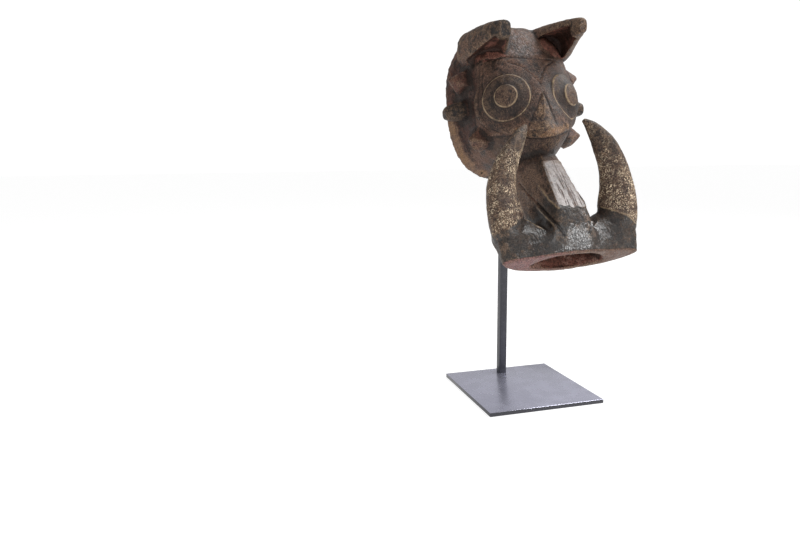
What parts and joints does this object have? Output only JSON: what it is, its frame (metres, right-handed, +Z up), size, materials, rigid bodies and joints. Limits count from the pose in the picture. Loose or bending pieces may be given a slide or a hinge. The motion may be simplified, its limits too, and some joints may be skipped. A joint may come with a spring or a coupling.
{
  "type": "carved animal mask on stand",
  "caption": "Carved wooden warthog mask, hollow behind, with ringed eyes, scooped ears, curved tusks and an open mouth, held up on a square bar and foot plate.",
  "frame": {"origin": "centre of the foot plate's underside", "axes": "+Z up, the face looks along -Y, +X to the viewer's right seen from the front"},
  "size_m": [0.2307, 0.2474, 0.5511],
  "materials": {
    "mask_wood": "aged, patinated, with worn paint",
    "rod_steel": "satin",
    "plate_steel": "satin"
  },
  "bodies": {
    "root": {"mask": "mask_wood", "stand_rod": "rod_steel", "base_plate": "plate_steel"}
  },
  "joints": []
}
